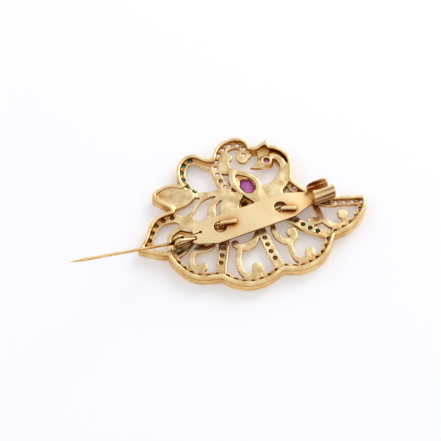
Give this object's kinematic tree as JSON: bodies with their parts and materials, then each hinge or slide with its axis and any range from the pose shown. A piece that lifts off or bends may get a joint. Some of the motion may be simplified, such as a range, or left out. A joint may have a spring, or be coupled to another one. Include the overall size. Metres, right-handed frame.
{
  "type": "saree pin",
  "caption": "Openwork peacock saree pin with stone-set bands, a riveted pin plate, a sprung pin that swings open and a tube catch.",
  "frame": {"origin": "middle of the openwork casting's length and width, on the plane of the rim's front edge that it lies on", "axes": "+X along the pin plate towards the catch, +Y across it towards the bird's head, +Z out of the back of the pin, up when it lies face down"},
  "size_m": [0.0619, 0.0338, 0.0213],
  "materials": {
    "cast_gold": "yellow gold, cast and softly polished",
    "plate_gold": "yellow gold sheet, satin",
    "wire_gold": "hard drawn gold wire, polished",
    "clear_stone": "clear faceted stone",
    "green_stone": "green faceted stone",
    "pink_stone": "pink-red faceted stone"
  },
  "bodies": {
    "brooch": {"casting": "cast_gold", "pin_plate": "plate_gold", "spring_turn": "wire_gold", "white_stones": "clear_stone", "green_stones": "green_stone", "ruby_wing": "pink_stone", "ruby_eye": "pink_stone"},
    "pin": {"pin_stem": "wire_gold"}
  },
  "joints": [
    {"name": "pin_hinge", "type": "hinge", "parent": "brooch", "child": "pin", "pos_m": [-0.01447, 0.0011, 0.0033], "axis": [-0.1122, 0.993, 0.0367], "range_deg": [-20, 138], "stiffness_Nm_per_rad": 0.002}
  ]
}
